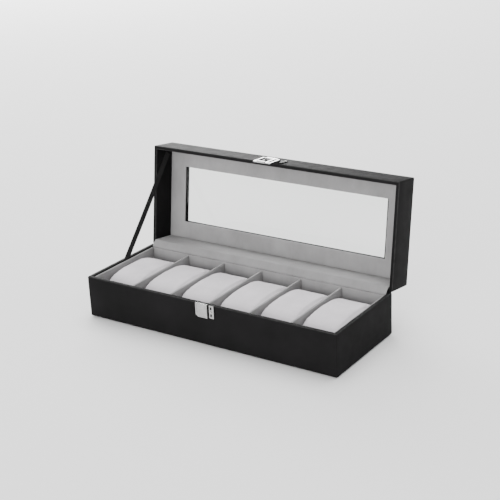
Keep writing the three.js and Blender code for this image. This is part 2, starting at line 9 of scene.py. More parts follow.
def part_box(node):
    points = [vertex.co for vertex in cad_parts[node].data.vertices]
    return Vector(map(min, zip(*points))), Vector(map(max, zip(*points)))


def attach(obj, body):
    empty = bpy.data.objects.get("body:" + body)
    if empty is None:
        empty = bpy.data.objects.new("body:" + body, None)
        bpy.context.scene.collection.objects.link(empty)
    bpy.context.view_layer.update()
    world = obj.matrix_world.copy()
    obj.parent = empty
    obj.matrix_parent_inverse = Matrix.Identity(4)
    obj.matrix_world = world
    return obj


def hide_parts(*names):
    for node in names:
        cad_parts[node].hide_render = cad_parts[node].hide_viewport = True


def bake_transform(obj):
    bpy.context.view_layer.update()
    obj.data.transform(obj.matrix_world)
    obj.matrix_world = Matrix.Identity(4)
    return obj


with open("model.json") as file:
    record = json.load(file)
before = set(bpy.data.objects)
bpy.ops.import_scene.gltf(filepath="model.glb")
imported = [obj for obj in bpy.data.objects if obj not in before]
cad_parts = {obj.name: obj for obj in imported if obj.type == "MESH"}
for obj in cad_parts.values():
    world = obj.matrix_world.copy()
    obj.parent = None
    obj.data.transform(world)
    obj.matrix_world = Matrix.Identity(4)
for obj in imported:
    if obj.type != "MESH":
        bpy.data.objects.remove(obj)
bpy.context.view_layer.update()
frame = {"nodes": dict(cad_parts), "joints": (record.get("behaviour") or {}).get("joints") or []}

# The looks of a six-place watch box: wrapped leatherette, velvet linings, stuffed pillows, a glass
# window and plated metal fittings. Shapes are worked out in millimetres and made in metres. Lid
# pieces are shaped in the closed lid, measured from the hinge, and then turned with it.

MM = 0.001

# ---- Camera ----

CAMERA_AZIMUTH = math.radians(34.694)
CAMERA_ELEVATION = math.radians(20.984)
CAMERA_ROLL = math.radians(-2.673)
CAMERA_DISTANCE = 1191.9
CAMERA_AIM = (0, 0, 60)
CAMERA_RIGHT_OF_AIM = 16.14
CAMERA_ABOVE_AIM = 22.11
CAMERA_LENS = 83.62

# ---- Sizes that the frame's boxes don't give ----

EDGE_RADIUS = 1.1
INNER_EDGE_RADIUS = 1.1
CORNER_RADIUS = 0.9
TIGHT_CORNER = 0.35
LEATHER = 0.7
SKIN = 0.5
WALL = 4.0
SKIN_DEPTH = 8
FLAP_WIDTH = 14
WINDOW_LENGTH = 251
WINDOW_DEPTH = 62
WINDOW_EDGE = 0.9
TURNED_UNDER = 5.5
PANEL_SETBACK_X = 2.2
PANEL_SETBACK_Y = 0.5
VELVET_LIP = 3.2
PANEL_OVERLAP = 0.15
PANEL_ROUND = 0.25
LIP_RISE = 0.5
LIP_FULLNESS = 0.7
BOARD_EDGE = 0.9
LEATHER_WAVER = 0.07
LEATHER_WAVER_SIZE = 30
LEATHER_SHARP_DEG = 50
LID_TOP_STEPS = (9, 17)
UNDER_GAP = 0.08
UNDER_THICKNESS = 0.12


# ---- Frame ----

def box_mm(node):
    low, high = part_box(node)
    return Vector(low) / MM, Vector(high) / MM


lid_joint = next(j for j in frame["joints"] if j["name"] == "lid_hinge")
HINGE = Vector(lid_joint["pos_m"]) / MM
LID = Matrix.Translation(HINGE) @ Matrix.Rotation(math.radians(lid_joint["range_deg"][0]), 4, "X")


def lid_box_mm(node):
    """A lid node's lowest and highest corners in the closed lid, measured from the hinge."""
    back = LID.inverted()
    points = [back @ (v.co / MM) for v in frame["nodes"][node].data.vertices]
    return Vector(map(min, zip(*points))), Vector(map(max, zip(*points)))


# ---- Making pieces ----

def smooth_with_sharp_edges(bm, sharp_deg):
    limit = math.radians(sharp_deg)
    for face in bm.faces:
        face.smooth = True
    for edge in bm.edges:
        edge.smooth = len(edge.link_faces) == 2 and edge.calc_face_angle(0) < limit


def make_piece(name, bm, material, place=None, sharp_deg=40):
    """A mesh object from bm, whose shape is in millimetres, set in place and measured in metres."""
    if place is not None:
        bm.transform(place)
    bm.transform(Matrix.Scale(MM, 4))
    bmesh.ops.recalc_face_normals(bm, faces=bm.faces)
    smooth_with_sharp_edges(bm, sharp_deg)
    mesh = bpy.data.meshes.new(name)
    bm.to_mesh(mesh)
    bm.free()
    mesh.materials.append(material)
    piece = bpy.data.objects.new(name, mesh)
    bpy.context.scene.collection.objects.link(piece)
    return piece


def on_body(piece, body, *nodes):
    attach(piece, body)
    if nodes:
        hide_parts(*nodes)
    return piece


def waver(bm, amount, size, seed):
    """Moves each point along its normal by smooth noise, as hand-laid cloth does."""
    bm.normal_update()
    for vert in bm.verts:
        place = vert.co / size + Vector((seed, seed * 0.7, 0))
        vert.co += vert.normal * noise.noise(place) * amount


def join_rows(bm, rows):
    """Faces between closed rows of vertices, with the first and last row filled."""
    for row, following in zip(rows, rows[1:]):
        for i in range(len(row)):
            j = (i + 1) % len(row)
            bm.faces.new((row[i], row[j], following[j], following[i]))
    bm.faces.new(rows[0])
    bm.faces.new(rows[-1])


# ---- Rounded boxes on a grid ----

def grid_lines(low, high, radius, step):
    """Grid lines from low to high, close together where the edge is rounded."""
    edge = [0, 0.35 * radius, 0.7 * radius]
    flat = high - low - 2 * radius
    count = max(1, round(flat / step))
    middle = [low + radius + flat * i / count for i in range(count + 1)]
    return [low + e for e in edge] + middle + [high - e for e in reversed(edge)]


def soft_box(low, high, radius, step=9):
    """A closed box with every edge rounded, its faces divided into a grid."""
    bm = bmesh.new()
    lines = [grid_lines(low[a], high[a], radius, step) for a in range(3)]
    verts = {}

    def vert_at(key):
        if key not in verts:
            point = Vector([lines[a][key[a]] for a in range(3)])
            core = Vector([min(max(point[a], low[a] + radius), high[a] - radius) for a in range(3)])
            verts[key] = bm.verts.new(core + (point - core).normalized() * radius)
        return verts[key]

    for axis in range(3):
        u, v = (axis + 1) % 3, (axis + 2) % 3
        last = len(lines[axis]) - 1
        for side in (0, last):
            for i in range(len(lines[u]) - 1):
                for j in range(len(lines[v]) - 1):
                    square = [(i, j), (i + 1, j), (i + 1, j + 1), (i, j + 1)]
                    keys = [{axis: side, u: a, v: b} for a, b in square]
                    bm.faces.new([vert_at((k[0], k[1], k[2])) for k in keys])
    return bm


# ---- Sweeps round a rectangle ----

def rectangle_loop(half_x, half_y, radius, counts):
    """Points round a rectangle with rounded corners, as many for every size."""
    count_x, count_y, count_corner = counts
    core_x, core_y = half_x - radius, half_y - radius
    corners = []
    for corner, (side_x, side_y) in enumerate(((1, -1), (1, 1), (-1, 1), (-1, -1))):
        turn = []
        for i in range(count_corner + 1):
            angle = math.pi / 2 * (corner - 1 + i / count_corner)
            x = side_x * core_x + radius * math.cos(angle)
            y = side_y * core_y + radius * math.sin(angle)
            turn.append(Vector((x, y)))
        corners.append(turn)
    points = []
    for corner, turn in enumerate(corners):
        points += turn
        following = corners[(corner + 1) % 4][0]
        count = count_y if corner % 2 == 0 else count_x
        points += [turn[-1].lerp(following, i / count) for i in range(1, count)]
    return points


def ring(half_x, half_y, radius, centre_y, z, wear_and_highlight=0.0):
    return {"size": (half_x, half_y, radius), "centre_y": centre_y, "z": z, "wear_and_highlight": wear_and_highlight}


def sweep_rings(rings, counts):
    """A closed skin through rings of the same number of points, the last joined to the first."""
    bm = bmesh.new()
    wear_and_highlight = bm.verts.layers.float.new("wear_and_highlight")
    loops = []
    for one in rings:
        loop = []
        for point in rectangle_loop(*one["size"], counts):
            vert = bm.verts.new((point.x, point.y + one["centre_y"], one["z"]))
            vert[wear_and_highlight] = one["wear_and_highlight"]
            loop.append(vert)
        loops.append(loop)
    for one, other in zip(loops, loops[1:] + loops[:1]):
        for i in range(len(one)):
            k = (i + 1) % len(one)
            bm.faces.new((one[i], one[k], other[k], other[i]))
    return bm


def arc(inset, z, radius, start_deg, end_deg, count=5):
    """Points of a rounded edge as (inset, z, wear_and_highlight), highest mid-arc. 0 degrees faces
    out and 90 faces up.
    """
    points = []
    for i in range(count + 1):
        angle = math.radians(start_deg + (end_deg - start_deg) * i / count)
        wear_and_highlight = math.sin(math.pi * i / count)
        points.append((inset - radius * math.cos(angle), z + radius * math.sin(angle), wear_and_highlight))
    return points


def inset_rings(profile, half_x, half_y, centre_y):
    rings = []
    for inset, z, wear_and_highlight in profile:
        radius = max(CORNER_RADIUS - inset, TIGHT_CORNER)
        rings.append(ring(half_x - inset, half_y - inset, radius, centre_y, z, wear_and_highlight))
    return rings


WALL_COUNTS = (40, 16, 6)


def outer_wall(low_z, high_z, count=4):
    return [(0, low_z + (high_z - low_z) * i / count, 0) for i in range(1, count)]


# ---- Materials ----

class Nodes:
    """A short way to build a material's nodes."""

    def __init__(self, name):
        self.material = bpy.data.materials.new(name)
        self.material.use_nodes = True
        self.tree = self.material.node_tree
        self.shader = self.tree.nodes["Principled BSDF"]
        self.place = self.add("ShaderNodeTexCoord").outputs["Object"]

    def add(self, kind, settings=None, **inputs):
        node = self.tree.nodes.new(kind)
        for key, value in (settings or {}).items():
            setattr(node, key, value)
        for key, value in inputs.items():
            self.feed(node.inputs[key.replace("_", " ")], value)
        return node

    def feed(self, socket, value):
        if isinstance(value, bpy.types.NodeSocket):
            self.tree.links.new(value, socket)
        else:
            socket.default_value = value

    def surface(self, **inputs):
        for key, value in inputs.items():
            self.feed(self.shader.inputs[key.replace("_", " ")], value)

    def stretched(self, scale, turn=(0, 0, 0)):
        node = self.add("ShaderNodeMapping", Vector=self.place, Scale=scale, Rotation=turn)
        return node.outputs["Vector"]

    def noise(self, size_mm, detail=3, vector=None, roughness=0.55):
        node = self.add("ShaderNodeTexNoise", Vector=vector or self.place,
                        Scale=1 / (size_mm * MM), Detail=detail, Roughness=roughness)
        return node.outputs["Fac"]

    def cells(self, size_mm, smoothness):
        node = self.add("ShaderNodeTexVoronoi", {"feature": "SMOOTH_F1"}, Vector=self.place,
                        Scale=1 / (size_mm * MM), Smoothness=smoothness)
        return node.outputs["Distance"]

    def math(self, operation, one, other=0.0):
        node = self.add("ShaderNodeMath", {"operation": operation})
        self.feed(node.inputs[0], one)
        self.feed(node.inputs[1], other)
        return node.outputs[0]

    def spread(self, factor, low, high, start=0.3, end=0.7):
        node = self.add("ShaderNodeMapRange", Value=factor)
        for socket, value in zip(node.inputs[1:5], (start, end, low, high)):
            socket.default_value = value
        return node.outputs["Result"]

    def blend(self, factor, one, other):
        node = self.add("ShaderNodeMix", {"data_type": "RGBA"})
        self.feed(node.inputs["Factor"], factor)
        self.feed(node.inputs["A"], one)
        self.feed(node.inputs["B"], other)
        return node.outputs["Result"]

    def bump(self, height, depth_mm):
        node = self.add("ShaderNodeBump", Height=height, Distance=depth_mm * MM, Strength=1.0)
        return node.outputs["Normal"]


def grey(value, tint=(1, 1, 1)):
    return (value * tint[0], value * tint[1], value * tint[2], 1)


def leather_material():
    nodes = Nodes("leatherette")
    wear_and_highlight = nodes.add("ShaderNodeAttribute", {"attribute_name": "wear_and_highlight"}).outputs["Fac"]
    patches = nodes.spread(nodes.noise(38, 4), 0, 1)
    colour = nodes.blend(patches, grey(0.008), grey(0.0115, (1, 0.95, 1.0)))
    # Rounded edges are lightened towards grey 0.05, partly as rubbed wear and partly as a painted
    # highlight along the rims.
    rubbed = nodes.math("MULTIPLY", wear_and_highlight, nodes.spread(nodes.noise(4, 4), 0.25, 1.0))
    colour = nodes.blend(nodes.math("MULTIPLY", rubbed, 0.75), colour, grey(0.05))
    grain = nodes.cells(0.75, 0.35)
    pores = nodes.noise(0.32, 2)
    height = nodes.math("ADD", grain, nodes.math("MULTIPLY", pores, 0.35))
    gloss = nodes.spread(nodes.noise(9, 5), 0.46, 0.56)
    gloss = nodes.math("SUBTRACT", gloss, nodes.math("MULTIPLY", wear_and_highlight, 0.08))
    nodes.surface(Base_Color=colour, Roughness=gloss, Normal=nodes.bump(height, 0.055),
                  Specular_IOR_Level=0.02)
    return nodes.material


def velvet_material(name, dark, light, tint, sheen):
    nodes = Nodes(name)
    nap = nodes.noise(26, 3, nodes.stretched((1, 1, 0.6)))
    streaks = nodes.noise(2.6, 4, nodes.stretched((1, 0.35, 0.35)))
    fibres = nodes.noise(0.22, 2)
    lay = nodes.math("ADD", nodes.spread(nap, 0, 0.6), nodes.spread(streaks, 0, 0.14))
    lay = nodes.math("ADD", lay, nodes.spread(fibres, -0.08, 0.12))
    colour = nodes.blend(lay, grey(dark, tint), grey(light, tint))
    height = nodes.math("ADD", nodes.math("MULTIPLY", streaks, 0.7), fibres)
    nodes.surface(Base_Color=colour, Roughness=nodes.spread(nap, 0.88, 0.98),
                  Normal=nodes.bump(height, 0.12), Specular_IOR_Level=0.18,
                  Sheen_Weight=sheen, Sheen_Roughness=0.45, Sheen_Tint=grey(0.9, tint))
    return nodes.material


def metal_material():
    nodes = Nodes("plated_metal")
    brushed = nodes.noise(0.35, 3, nodes.stretched((0.06, 1, 1)))
    smudge = nodes.noise(3.5, 4)
    colour = nodes.blend(nodes.spread(smudge, 0, 1), grey(0.37, (1, 0.985, 0.99)), grey(0.49))
    gloss = nodes.math("ADD", nodes.spread(smudge, 0.17, 0.27), nodes.spread(brushed, -0.03, 0.05))
    nodes.surface(Base_Color=colour, Roughness=gloss, Metallic=1.0,
                  Normal=nodes.bump(brushed, 0.006))
    return nodes.material


def painted_shade_metal_material():
    """Near-black metal, painted shade in the fittings' openings and painted shadow and dark
    reflection on the hasp's hinge plate.
    """
    nodes = Nodes("painted_shade_metal")
    shade_mottle = nodes.noise(2.2, 4)
    rubbed = nodes.noise(0.5, 3, nodes.stretched((0.1, 1, 1)))
    colour = nodes.blend(nodes.spread(shade_mottle, 0, 1), grey(0.008), grey(0.02))
    nodes.surface(Base_Color=colour, Roughness=nodes.spread(rubbed, 0.45, 0.6),
                  Normal=nodes.bump(rubbed, 0.008), Specular_IOR_Level=0.2)
    return nodes.material


def window_edge_shade_material():
    """Painted shade on the cut edge round the window: blacker than the leather and without gloss.
    """
    nodes = Nodes("window_edge_painted_shade")
    grain = nodes.noise(0.5, 4)
    colour = nodes.blend(grain, grey(0.002), grey(0.006))
    nodes.surface(Base_Color=colour, Roughness=nodes.spread(grain, 0.85, 0.98),
                  Normal=nodes.bump(grain, 0.05), Specular_IOR_Level=0.0)
    return nodes.material


def ribbon_material():
    nodes = Nodes("woven_ribbon")
    along = nodes.stretched((1, 1, 1), (math.radians(-49), 0, 0))
    ribs = nodes.add("ShaderNodeTexWave", {"bands_direction": "Y"}, Vector=along,
                     Scale=1 / (2.4 * MM), Distortion=0.4, Detail=2.0).outputs["Fac"]
    threads = nodes.noise(0.3, 2)
    colour = nodes.blend(ribs, grey(0.008), grey(0.019))
    height = nodes.math("ADD", ribs, nodes.math("MULTIPLY", threads, 0.4))
    nodes.surface(Base_Color=colour, Roughness=nodes.spread(threads, 0.6, 0.8),
                  Normal=nodes.bump(height, 0.1), Specular_IOR_Level=0.2)
    return nodes.material


def board_material():
    nodes = Nodes("fibre_board")
    flecks = nodes.noise(0.9, 5, nodes.stretched((1, 1, 2.5)))
    clouds = nodes.noise(18, 3)
    shade = nodes.math("ADD", nodes.spread(flecks, 0, 0.7), nodes.spread(clouds, 0, 0.3))
    colour = nodes.blend(shade, (0.16, 0.095, 0.05, 1), (0.33, 0.22, 0.13, 1))
    nodes.surface(Base_Color=colour, Roughness=nodes.spread(flecks, 0.78, 0.92),
                  Normal=nodes.bump(flecks, 0.12))
    return nodes.material


def felt_material():
    nodes = Nodes("underside_felt")
    hairs = nodes.noise(0.8, 5, roughness=0.7)
    clouds = nodes.noise(14, 3)
    shade = nodes.math("ADD", nodes.spread(hairs, 0, 0.7), nodes.spread(clouds, 0, 0.3))
    colour = nodes.blend(shade, grey(0.006), grey(0.022))
    nodes.surface(Base_Color=colour, Roughness=nodes.spread(hairs, 0.85, 0.98),
                  Normal=nodes.bump(hairs, 0.2), Sheen_Weight=0.3)
    return nodes.material


def glass_material():
    """Clear glass that lets lamps through, with faint smears."""
    nodes = Nodes("window_glass")
    smears = nodes.noise(24, 5, nodes.stretched((0.5, 1, 1)))
    nodes.surface(Base_Color=grey(0.97, (0.985, 1, 0.99)), Transmission_Weight=1.0, IOR=1.45,
                  Roughness=nodes.spread(smears, 0.0, 0.03, 0.45, 0.75))
    clear = nodes.add("ShaderNodeBsdfTransparent", Color=grey(0.93))
    lamp_rays = nodes.add("ShaderNodeLightPath").outputs["Is Shadow Ray"]
    mix = nodes.add("ShaderNodeMixShader")
    nodes.feed(mix.inputs[0], lamp_rays)
    nodes.feed(mix.inputs[1], nodes.shader.outputs[0])
    nodes.feed(mix.inputs[2], clear.outputs[0])
    output = nodes.tree.nodes["Material Output"]
    nodes.feed(output.inputs["Surface"], mix.outputs[0])
    return nodes.material


def floor_material():
    nodes = Nodes("studio_floor")
    nodes.surface(Base_Color=grey(0.86), Roughness=0.9, Specular_IOR_Level=0.1)
    return nodes.material


LEATHERETTE = leather_material()
VELVET = velvet_material("grey_velvet", 0.22, 0.32, (1.0, 0.985, 0.99), 0.25)
PILLOW_VELVET = velvet_material("pillow_velvet", 0.53, 0.7, (1.0, 0.955, 1.0), 0.3)
METAL = metal_material()
PAINTED_SHADE_METAL = painted_shade_metal_material()
WINDOW_EDGE_SHADE = window_edge_shade_material()
RIBBON = ribbon_material()
BOARD = board_material()
FELT = felt_material()
GLASS = glass_material()


# ---- Covers ----

def base_cover():
    """The leather of the base: up the walls, over the rim, down inside, and under the bottom."""
    low, high = box_mm("base_leather")
    bottom, top = low.z, high.z
    profile = arc(EDGE_RADIUS, bottom + EDGE_RADIUS, EDGE_RADIUS, -90, 0)
    profile += outer_wall(bottom + EDGE_RADIUS, top - EDGE_RADIUS)
    profile += arc(EDGE_RADIUS, top - EDGE_RADIUS, EDGE_RADIUS, 0, 90)
    profile += arc(WALL - INNER_EDGE_RADIUS, top - INNER_EDGE_RADIUS, INNER_EDGE_RADIUS, 90, 180)
    profile += [
        (WALL, top - SKIN_DEPTH / 2, 0),
        (WALL, top - SKIN_DEPTH, 0),
        (WALL - SKIN, top - SKIN_DEPTH, 0),
        (WALL - SKIN, top - 2 * LEATHER, 0),
        (LEATHER, top - 2 * LEATHER, 0),
        (LEATHER, bottom + LEATHER, 0),
        (FLAP_WIDTH, bottom + LEATHER, 0),
        (FLAP_WIDTH, bottom, 0),
    ]
    bm = sweep_rings(inset_rings(profile, high.x, high.y, 0), WALL_COUNTS)
    waver(bm, LEATHER_WAVER, LEATHER_WAVER_SIZE, 3.1)
    piece = make_piece("base_cover", bm, LEATHERETTE, sharp_deg=LEATHER_SHARP_DEG)
    return on_body(piece, "base", "base_leather")


def lid_cover():
    """The leather of the lid: over the rim, up the walls, over the top and into the window."""
    low, high = lid_box_mm("lid_leather")
    middle = (low.y + high.y) / 2
    half_x, half_y = high.x, (high.y - low.y) / 2
    rim, top = low.z, high.z
    glass_back = lid_box_mm("window_glass")[1].z
    skin_top = lid_box_mm("window_lining")[1].z
    profile = [(WALL, skin_top, 0), (WALL, (skin_top + rim) / 2, 0)]
    profile += arc(WALL - INNER_EDGE_RADIUS, rim + INNER_EDGE_RADIUS, INNER_EDGE_RADIUS, 180, 270)
    profile += arc(EDGE_RADIUS, rim + EDGE_RADIUS, EDGE_RADIUS, 270, 360)
    profile += outer_wall(rim + EDGE_RADIUS, top - EDGE_RADIUS, 3)
    profile += arc(EDGE_RADIUS, top - EDGE_RADIUS, EDGE_RADIUS, 0, 90)
    profile += [(inset, top, 0) for inset in LID_TOP_STEPS]
    rings = inset_rings(profile, half_x, half_y, middle)
    rings += window_edge_rings(middle, top, glass_back)
    inside = [
        (LEATHER, top - LEATHER, 0),
        (LEATHER, rim + LEATHER, 0),
        (WALL - SKIN, rim + LEATHER, 0),
        (WALL - SKIN, skin_top, 0),
    ]
    rings += inset_rings(inside, half_x, half_y, middle)
    bm = sweep_rings(rings, WALL_COUNTS)
    shade_window_edge(bm, middle, glass_back, top)
    waver(bm, LEATHER_WAVER, LEATHER_WAVER_SIZE, 8.4)
    piece = make_piece("lid_cover", bm, LEATHERETTE, LID, LEATHER_SHARP_DEG)
    # The second material is painted shade on the cut edge round the window.
    piece.data.materials.append(WINDOW_EDGE_SHADE)
    return on_body(piece, "lid", "lid_leather")


def shade_window_edge(bm, middle, glass_back, top):
    """Gives the faces inside the window's opening the second material, the painted shade."""
    for face in bm.faces:
        centre = face.calc_center_median()
        in_x = abs(centre.x) < WINDOW_LENGTH / 2 + TURNED_UNDER
        in_y = abs(centre.y - middle) < WINDOW_DEPTH / 2 + TURNED_UNDER
        if in_x and in_y and glass_back < centre.z < top - 0.6 * WINDOW_EDGE:
            face.material_index = 1


def window_edge_rings(middle, top, glass_back):
    """The cover's edge round the window, turned in over the board and under it."""
    count = 5
    offsets = []
    for i in range(count + 1):
        angle = math.pi / 2 * (1 + i / count)
        wear_and_highlight = math.sin(math.pi * i / count)
        offset = WINDOW_EDGE * (1 + math.cos(angle))
        offsets.append((offset, top - WINDOW_EDGE * (1 - math.sin(angle)), wear_and_highlight))
    under = glass_back + UNDER_GAP
    offsets += [
        (0, under, 0),
        (TURNED_UNDER, under, 0),
        (TURNED_UNDER, under + UNDER_THICKNESS, 0),
        (LEATHER, under + UNDER_THICKNESS, 0),
        (LEATHER, top - LEATHER, 0),
    ]
    half_x, half_y = WINDOW_LENGTH / 2, WINDOW_DEPTH / 2
    return [ring(half_x + o, half_y + o, TIGHT_CORNER + o, middle, z, w) for o, z, w in offsets]


# ---- Linings ----

def velvet_board(name, node, body="base", place=None, corners=None):
    low, high = corners or box_mm(node)
    bm = soft_box(low, high, min(BOARD_EDGE, 0.45 * min(high - low)))
    waver(bm, 0.16, 14, len(name) * 1.7 + low.x * 0.13)
    piece = make_piece(name, bm, VELVET, place)
    return on_body(piece, body, node)


def base_linings():
    for side in ("floor", "front", "back", "left", "right"):
        velvet_board(f"{side}_velvet", f"{side}_lining")
    for node in sorted(frame["nodes"]):
        if node.startswith("divider_"):
            velvet_board(f"velvet_{node}", node)


def window_panel():
    """The velvet panel round the window, with a padded lip along the opening."""
    low, high = lid_box_mm("window_lining")
    middle = (low.y + high.y) / 2
    window_middle = (lid_box_mm("lid_leather")[0].y) / 2
    half_x, half_y = high.x, (high.y - low.y) / 2
    window_x = WINDOW_LENGTH / 2 + PANEL_SETBACK_X
    window_y = WINDOW_DEPTH / 2 + PANEL_SETBACK_Y
    face, back = low.z, high.z
    rings = []
    for share in (0, 0.5, 1):
        inset = PANEL_ROUND * (1 - math.cos(math.pi / 2 * share)) - PANEL_OVERLAP
        z = back - (back - face) * math.sin(math.pi / 2 * share)
        rings.append(ring(half_x - inset, half_y - inset, 0.6, middle, z))
    for share in (0.3, 0.65):
        x = half_x + (window_x + VELVET_LIP - half_x) * share
        y = half_y + (window_y + VELVET_LIP - half_y) * share
        centre = middle + (window_middle - middle) * share
        rings.append(ring(x, y, 0.8, centre, face))
    count = 6
    for i in range(count + 1):
        angle = math.pi / 2 * i / count
        offset = VELVET_LIP * (1 - math.sin(angle))
        z = back - (back - face + LIP_RISE) * math.cos(angle) ** LIP_FULLNESS
        z = min(z, back - 0.05)
        rings.append(ring(window_x + offset, window_y + offset, 0.7 + offset, window_middle, z))
    rings.append(ring(window_x + 0.3, window_y + 0.3, 1.0, window_middle, back))
    bm = sweep_rings(rings, WALL_COUNTS)
    waver(bm, 0.15, 22, 5.2)
    piece = make_piece("window_velvet", bm, VELVET, LID)
    return on_body(piece, "lid", "window_lining")


def lid_shelf():
    corners = lid_box_mm("lid_back_lining")
    velvet_board("lid_back_velvet", "lid_back_lining", "lid", LID, corners)


# ---- Cloth across the hinge ----

def bent_strip(path, half_length, thickness, count_x):
    """A closed strip along X whose middle line runs through the [y, z] points of path."""
    bm = bmesh.new()
    points = [Vector(p) for p in path]
    sides = []
    for i, point in enumerate(points):
        ahead = points[min(i + 1, len(points) - 1)]
        behind = points[max(i - 1, 0)]
        along = (ahead - behind).normalized()
        across = Vector((-along.y, along.x)) * thickness / 2
        sides.append((point + across, point - across))
    outline = [s[0] for s in sides] + [s[1] for s in reversed(sides)]
    rows = []
    for k in range(count_x + 1):
        x = half_length * (2 * k / count_x - 1)
        rows.append([bm.verts.new((x, p.x, p.y)) for p in outline])
    join_rows(bm, rows)
    return bm


def smooth_path(points, per_span=5):
    """A curve through the [y, z] points."""
    found = []
    vectors = [Vector(p) for p in points]
    padded = [vectors[0]] + vectors + [vectors[-1]]
    for p0, p1, p2, p3 in zip(padded, padded[1:], padded[2:], padded[3:]):
        for i in range(per_span):
            t = i / per_span
            found.append(0.5 * (2 * p1 + (p2 - p0) * t + (2 * p0 - 5 * p1 + 4 * p2 - p3) * t * t
                                + (3 * p1 - p0 - 3 * p2 + p3) * t ** 3))
    return found + [vectors[-1]]


def lid_yz(y, z):
    point = LID @ Vector((0, y, z))
    return point.y, point.z


STRIP_COLUMNS = 60
STRIP_SHARP_DEG = 60
VELVET_THICKNESS = 0.75
LEATHER_THICKNESS = 0.6
LEATHER_OUT = 0.55


def hinge_velvet_strip():
    """The inner strip, from below the rim up over the gap and on to the lid's back lining."""
    low, high = box_mm("hinge_velvet")
    lid_start = lid_box_mm("lid_back_lining")[0]
    face_y = low.y + 0.4
    path = smooth_path([
        (face_y, low.z + 0.1),
        (face_y + 0.05, HINGE.z - 0.6),
        (face_y + 1.5, HINGE.z + 1.1),
        lid_yz(lid_start.y + 0.8, -0.4),
        lid_yz(lid_start.y + 0.45, lid_start.z - 0.1),
    ])
    bm = bent_strip(path, high.x, VELVET_THICKNESS, STRIP_COLUMNS)
    waver(bm, 0.22, 9, 2.2)
    piece = make_piece("hinge_velvet_strip", bm, VELVET, sharp_deg=STRIP_SHARP_DEG)
    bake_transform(piece)
    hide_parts("hinge_velvet")


def hinge_leather_strip():
    """The outer strip, glued to the backs of the base and the lid."""
    low, high = box_mm("hinge_leather")
    back_y = HINGE.y + LEATHER_OUT
    path = smooth_path([
        (back_y, low.z),
        (back_y, HINGE.z - 6),
        (back_y, HINGE.z - 1.6),
        lid_yz(LEATHER_OUT, 1.7),
        lid_yz(LEATHER_OUT, 6),
        lid_yz(LEATHER_OUT, 10),
    ])
    bm = bent_strip(path, high.x, LEATHER_THICKNESS, STRIP_COLUMNS)
    waver(bm, 0.05, 12, 7.2)
    piece = make_piece("hinge_leather_strip", bm, LEATHERETTE,
                       sharp_deg=STRIP_SHARP_DEG)
    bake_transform(piece)
    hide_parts("hinge_leather")


STRAP_LOWER = (3.6, 45.2)
STRAP_UPPER_IN_LID = (-102, 20)
STRAP_WIDTH = 8
STRAP_BOW = 0.5
STRAP_ROWS = 70
# Half the ribbon's thickness at each place across it, from the thin edge over the firm selvedge.
STRAP_LANES = (
    (-1, 0.12),
    (-0.86, 0.3),
    (-0.8, 0.22),
    (-0.4, 0.22),
    (0, 0.22),
    (0.4, 0.22),
    (0.8, 0.22),
    (0.86, 0.3),
    (1, 0.12),
)


def lid_strap():
    """A flat ribbon from behind the left lining to the lid's left wall, with firm woven edges."""
    low, high = box_mm("lid_strap")
    start = Vector(STRAP_LOWER)
    end = Vector(lid_yz(*STRAP_UPPER_IN_LID))
    along = (end - start).normalized()
    across = Vector((-along.y, along.x))
    middle_x = (low.x + high.x) / 2
    bm = bmesh.new()
    rows = []
    for i in range(STRAP_ROWS + 1):
        t = i / STRAP_ROWS
        centre = start.lerp(end, t)
        x = middle_x + STRAP_BOW * math.sin(math.pi * t)
        front, back = [], []
        for lane, half_thickness in STRAP_LANES:
            point = centre + across * lane * STRAP_WIDTH / 2
            front.append(bm.verts.new((x + half_thickness, point.x, point.y)))
            back.append(bm.verts.new((x - half_thickness, point.x, point.y)))
        rows.append(front + back[::-1])
    join_rows(bm, rows)
    piece = make_piece("ribbon_strap", bm, RIBBON, sharp_deg=70)
    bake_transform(piece)
    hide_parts("lid_strap")


# ---- Pillows ----

PILLOW_VOXEL = 2.6
PILLOW_START = (0.955, 0.955, 0.93)
PILLOW_SWELL = 3.0
INFLATE_STEPS = 20
INFLATE_PRESSURE = 4
COVER_STIFFNESS = 12
SEAM_FROM_END = 3.4
SEAM_WIDTH = 0.75
SEAM_DEPTH = 0.75
PUCKERS_ROUND = 34
PUCKER_DEPTH = 0.16
PUCKER_REACH = 4.5
LOOSE_DEPTH = 0.35
LOOSE_SIZE = 13
END_FACE = 0.6


def swollen_pillow():
    """One pillow's mesh round its own middle: its CAD solid, blown up like a stuffed cover."""
    low, high = box_mm("watch_pillow_1")
    middle = (low + high) / 2
    half = (high - low) / 2
    mesh = frame["nodes"]["watch_pillow_1"].data.copy()
    mesh.transform(Matrix.Translation(-middle * MM))
    mesh.transform(Matrix.Diagonal((*PILLOW_START, 1)))
    pillow = bpy.data.objects.new("pillow_master", mesh)
    bpy.context.scene.collection.objects.link(pillow)
    bpy.context.view_layer.objects.active = pillow
    remesh = pillow.modifiers.new("remesh", "REMESH")
    remesh.voxel_size = PILLOW_VOXEL * MM
    apply_modifiers(pillow)
    before = [v.co.copy() for v in pillow.data.vertices]
    inflate(pillow)
    for vert, start in zip(pillow.data.vertices, before):
        moved = vert.co - start
        if moved.length > PILLOW_SWELL * MM:
            vert.co = start + moved.normalized() * PILLOW_SWELL * MM
        for axis in range(3):
            limit = half[axis] * MM
            vert.co[axis] = min(max(vert.co[axis], -limit), limit)
    subdivide = pillow.modifiers.new("subdivide", "SUBSURF")
    subdivide.levels = subdivide.render_levels = 1
    apply_modifiers(pillow)
    return pillow, half


def apply_modifiers(piece):
    """Replaces the piece's mesh by what its modifiers make of it."""
    graph = bpy.context.evaluated_depsgraph_get()
    mesh = bpy.data.meshes.new_from_object(piece.evaluated_get(graph))
    piece.modifiers.clear()
    piece.data = mesh


